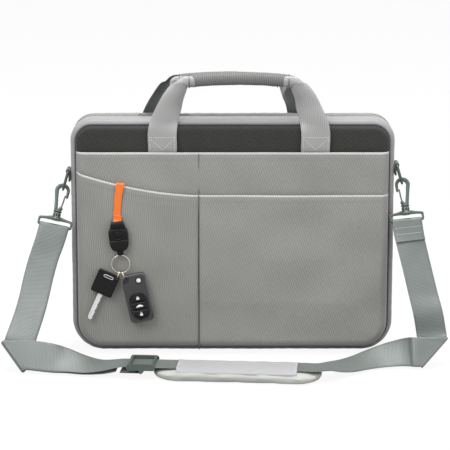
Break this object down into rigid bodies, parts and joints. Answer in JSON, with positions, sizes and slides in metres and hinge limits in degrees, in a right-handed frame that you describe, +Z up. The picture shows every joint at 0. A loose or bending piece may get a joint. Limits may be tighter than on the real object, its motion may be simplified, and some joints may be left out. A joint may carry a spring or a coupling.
{
  "type": "laptop briefcase",
  "caption": "Soft laptop briefcase with twin carry handles, front pockets, a rear zipped compartment, a padded shoulder strap on swivel hooks and a key leash.",
  "frame": {"origin": "middle of the case's base, on the floor", "axes": "+X to the viewer's right along the case's width, -Y towards the front pockets, +Z up"},
  "size_m": [0.5514, 0.2295, 0.3577],
  "materials": {
    "case_twill": "light grey diagonal twill",
    "panel_twill": "charcoal diagonal twill",
    "gusset_cloth": "smooth grey satin weave",
    "piping": "dark purple-grey bias tape",
    "lining": "quilted dark lining",
    "zip_tape": "woven zip tape",
    "zip_teeth": "moulded coil",
    "zip_metal": "satin",
    "handle_cloth": "light grey satin webbing",
    "foam": "foam core",
    "board": "flat board",
    "hardware": "matte grey-green moulding",
    "gate_metal": "grey-green sprung wire, coated",
    "webbing": "ribbed grey-green webbing",
    "pad_mesh": "light mesh with padding",
    "pad_cover": "smooth lilac-grey cloth",
    "leash": "orange woven tape",
    "black_plastic": "moulded black",
    "ring_metal": "polished, slightly golden",
    "key_steel": "milled",
    "remote_shell": "fine-grained grey",
    "remote_keys": "black with pale icons"
  },
  "bodies": {
    "bag": {"front_panel": "panel_twill", "front_piping": "piping", "upper_pocket": "case_twill", "lower_pocket_left": "case_twill", "lower_pocket_right": "case_twill", "lower_gusset": "gusset_cloth", "front_gusset": "gusset_cloth", "base_stiffener": "board", "divider": "lining", "divider_tab": "webbing", "front_zip_tape": "zip_tape", "front_zip_teeth": "zip_teeth", "zip_stops": "zip_metal", "back_panel_lower": "case_twill", "rear_piping_lower": "piping", "front_handle_patches": "handle_cloth", "ring_tabs": "webbing", "leash_webbing": "leash", "leash_buckle_socket": "black_plastic"},
    "back_flap": {"back_panel_upper": "case_twill", "rear_piping_upper": "piping", "rear_gusset": "gusset_cloth", "rear_zip_tape": "zip_tape", "rear_zip_teeth": "zip_teeth", "rear_handle_patches": "handle_cloth", "trolley_sleeve": "case_twill"},
    "front_handle": {"front_handle_strap": "handle_cloth", "front_handle_grip": "handle_cloth", "front_handle_core": "foam"},
    "rear_handle": {"rear_handle_strap": "handle_cloth", "rear_handle_grip": "handle_cloth", "rear_handle_core": "foam"},
    "zip_slider_left": {"zip_slider_left": "zip_metal"},
    "zip_slider_right": {"zip_slider_right": "zip_metal"},
    "zip_pull_left": {"zip_pull_left": "zip_metal"},
    "zip_pull_right": {"zip_pull_right": "zip_metal"},
    "d_ring_left": {"d_ring_left": "hardware"},
    "d_ring_right": {"d_ring_right": "hardware"},
    "shoulder_strap": {"shoulder_webbing": "webbing", "hook_frame_left": "hardware", "hook_frame_right": "hardware"},
    "hook_left": {"snap_hook_left": "hardware"},
    "hook_right": {"snap_hook_right": "hardware"},
    "gate_left": {"hook_gate_left": "gate_metal"},
    "gate_right": {"hook_gate_right": "gate_metal"},
    "strap_adjuster": {"strap_adjuster": "hardware", "strap_end_loop": "webbing"},
    "shoulder_pad": {"shoulder_pad": "pad_mesh", "pad_sleeve": "pad_cover"},
    "leash_plug": {"leash_buckle_plug": "black_plastic"},
    "split_ring": {"split_ring": "ring_metal"},
    "key": {"key_link": "ring_metal", "key_bow": "black_plastic", "key_blade": "key_steel"},
    "remote": {"remote_link": "ring_metal", "remote_case": "remote_shell"},
    "lock_button": {"remote_lock_button": "remote_keys"},
    "boot_button": {"remote_boot_button": "remote_keys"},
    "unlock_button": {"remote_unlock_button": "remote_keys"}
  },
  "joints": [
    {"name": "compartment_open", "type": "hinge", "parent": "bag", "child": "back_flap", "pos_m": [0, 0.035, 0.114], "axis": [-1, 0, 0], "range_deg": [0, 80]},
    {"name": "front_handle_fold", "type": "hinge", "parent": "bag", "child": "front_handle", "pos_m": [0, -0.0386, 0.265], "axis": [1, 0, 0], "range_deg": [0, 140]},
    {"name": "rear_handle_fold", "type": "hinge", "parent": "back_flap", "child": "rear_handle", "pos_m": [0, 0.0386, 0.265], "axis": [1, 0, 0], "range_deg": [-158, 0]},
    {"name": "zip_run_left", "type": "slide", "parent": "bag", "child": "zip_slider_left", "axis": [1, 0, 0], "range_m": [-0.06, 0]},
    {"name": "zip_run_right", "type": "slide", "parent": "bag", "child": "zip_slider_right", "axis": [1, 0, 0], "range_m": [0, 0.235]},
    {"name": "zip_pull_swing_left", "type": "hinge", "parent": "zip_slider_left", "child": "zip_pull_left", "pos_m": [-0.0918, 0.01, 0.2981], "axis": [0, 1, 0], "range_deg": [0, 85]},
    {"name": "zip_pull_swing_right", "type": "hinge", "parent": "zip_slider_right", "child": "zip_pull_right", "pos_m": [-0.0822, 0.01, 0.2981], "axis": [0, -1, 0], "range_deg": [0, 60]},
    {"name": "d_ring_swing_left", "type": "hinge", "parent": "bag", "child": "d_ring_left", "pos_m": [-0.206, -0.0145, 0.231], "axis": [0, 1, 0], "range_deg": [-3, 3]},
    {"name": "d_ring_swing_right", "type": "hinge", "parent": "bag", "child": "d_ring_right", "pos_m": [0.206, -0.0145, 0.239], "axis": [0, 1, 0], "range_deg": [-3, 3]},
    {"name": "strap_lift", "type": "hinge", "parent": "bag", "child": "shoulder_strap", "pos_m": [-0.21285, -0.02005, 0.20709], "axis": [0.9998, 0, 0.0188], "range_deg": [-20, 0]},
    {"name": "hook_swivel_left", "type": "hinge", "parent": "shoulder_strap", "child": "hook_left", "pos_m": [-0.21932, -0.03118, 0.18088], "axis": [0.2079, 0.3822, 0.9004], "range_deg": [-12, 12]},
    {"name": "hook_swivel_right", "type": "hinge", "parent": "shoulder_strap", "child": "hook_right", "pos_m": [0.2163, -0.03138, 0.1884], "axis": [-0.1045, 0.3886, 0.9155], "range_deg": [-12, 12]},
    {"name": "gate_open_left", "type": "hinge", "parent": "hook_left", "child": "gate_left", "pos_m": [-0.21537, -0.02975, 0.18425], "axis": [0, -0.9205, 0.3907], "range_deg": [0, 15], "stiffness_Nm_per_rad": 0.02},
    {"name": "gate_open_right", "type": "hinge", "parent": "hook_right", "child": "gate_right", "pos_m": [0.21276, -0.0298, 0.19213], "axis": [0, 0.9205, -0.3907], "range_deg": [0, 15], "stiffness_Nm_per_rad": 0.02},
    {"name": "strap_adjust", "type": "slide", "parent": "shoulder_strap", "child": "strap_adjuster", "axis": [0.9962, -0.0872, 0], "range_m": [0, 0.007]},
    {"name": "pad_shift", "type": "slide", "parent": "shoulder_strap", "child": "shoulder_pad", "axis": [0.9962, -0.0872, 0], "range_m": [0, 0.008]},
    {"name": "leash_release", "type": "slide", "parent": "bag", "child": "leash_plug", "axis": [0.0976, 0, -0.9952], "range_m": [0, 0.02]},
    {"name": "ring_swing", "type": "hinge", "parent": "leash_plug", "child": "split_ring", "pos_m": [-0.13969, -0.0538, 0.13023], "axis": [0, 1, 0], "range_deg": [-12, 12]},
    {"name": "key_swing", "type": "hinge", "parent": "split_ring", "child": "key", "pos_m": [-0.14504, -0.0538, 0.10876], "axis": [0, 1, 0], "range_deg": [0, 6]},
    {"name": "remote_swing", "type": "hinge", "parent": "split_ring", "child": "remote", "pos_m": [-0.13542, -0.0538, 0.10826], "axis": [0, -1, 0], "range_deg": [0, 14]},
    {"name": "lock_press", "type": "slide", "parent": "remote", "child": "lock_button", "axis": [0, 1, 0], "range_m": [0, 0.0006], "stiffness_N_per_m": 250},
    {"name": "boot_press", "type": "slide", "parent": "remote", "child": "boot_button", "axis": [0, 1, 0], "range_m": [0, 0.0006], "stiffness_N_per_m": 250},
    {"name": "unlock_press", "type": "slide", "parent": "remote", "child": "unlock_button", "axis": [0, 1, 0], "range_m": [0, 0.0006], "stiffness_N_per_m": 250}
  ]
}
